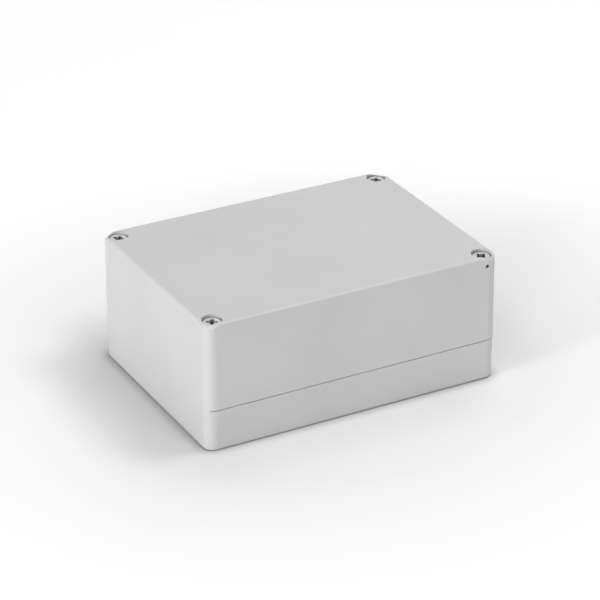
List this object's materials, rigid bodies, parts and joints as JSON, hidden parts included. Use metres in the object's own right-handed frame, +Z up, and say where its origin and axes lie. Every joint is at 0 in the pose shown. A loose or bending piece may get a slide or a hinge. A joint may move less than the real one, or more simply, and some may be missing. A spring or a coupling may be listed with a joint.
{
  "type": "plastic project box",
  "caption": "Sealed rectangular plastic enclosure with a deep lid on a shallow base, corner lid screws, a cord gasket and wall-mounting holes outside the seal.",
  "frame": {"origin": "centre of the underside, on the table", "axes": "+X along the box to the right, +Y to the back across the box, +Z up through the lid"},
  "size_m": [0.18, 0.13, 0.075],
  "materials": {
    "shell": "fine matt moulded",
    "screws": "smooth satin moulded",
    "seal": "matt",
    "rings": "matt"
  },
  "bodies": {
    "base": {"base": "shell"},
    "lid": {"lid": "shell", "gasket": "seal"},
    "ring_front_left": {"captive_ring_front_left": "rings"},
    "screw_front_left": {"screw_front_left": "screws"},
    "ring_front_right": {"captive_ring_front_right": "rings"},
    "screw_front_right": {"screw_front_right": "screws"},
    "ring_back_left": {"captive_ring_back_left": "rings"},
    "screw_back_left": {"screw_back_left": "screws"},
    "ring_back_right": {"captive_ring_back_right": "rings"},
    "screw_back_right": {"screw_back_right": "screws"}
  },
  "joints": [
    {"name": "lid_lift", "type": "slide", "parent": "base", "child": "lid", "axis": [0, 0, 1], "range_m": [0, 0.08]},
    {"name": "rise_front_left", "type": "slide", "parent": "lid", "child": "ring_front_left", "axis": [0, 0, 1], "range_m": [0, 0.0075]},
    {"name": "turn_front_left", "type": "hinge", "parent": "ring_front_left", "child": "screw_front_left", "pos_m": [-0.0825, -0.0575, 0.0485], "axis": [0, 0, 1], "range_deg": [0, 1801]},
    {"name": "rise_front_right", "type": "slide", "parent": "lid", "child": "ring_front_right", "axis": [0, 0, 1], "range_m": [0, 0.0075]},
    {"name": "turn_front_right", "type": "hinge", "parent": "ring_front_right", "child": "screw_front_right", "pos_m": [0.0825, -0.0575, 0.0485], "axis": [0, 0, 1], "range_deg": [0, 1801]},
    {"name": "rise_back_left", "type": "slide", "parent": "lid", "child": "ring_back_left", "axis": [0, 0, 1], "range_m": [0, 0.0075]},
    {"name": "turn_back_left", "type": "hinge", "parent": "ring_back_left", "child": "screw_back_left", "pos_m": [-0.0825, 0.0575, 0.0485], "axis": [0, 0, 1], "range_deg": [0, 1801]},
    {"name": "rise_back_right", "type": "slide", "parent": "lid", "child": "ring_back_right", "axis": [0, 0, 1], "range_m": [0, 0.0075]},
    {"name": "turn_back_right", "type": "hinge", "parent": "ring_back_right", "child": "screw_back_right", "pos_m": [0.0825, 0.0575, 0.0485], "axis": [0, 0, 1], "range_deg": [0, 1801]}
  ],
  "couplings": [
    {"joint": "turn_front_left", "follows": "rise_front_left", "rad_per_m": 4188.8},
    {"joint": "turn_front_right", "follows": "rise_front_right", "rad_per_m": 4188.8},
    {"joint": "turn_back_left", "follows": "rise_back_left", "rad_per_m": 4188.8},
    {"joint": "turn_back_right", "follows": "rise_back_right", "rad_per_m": 4188.8}
  ]
}
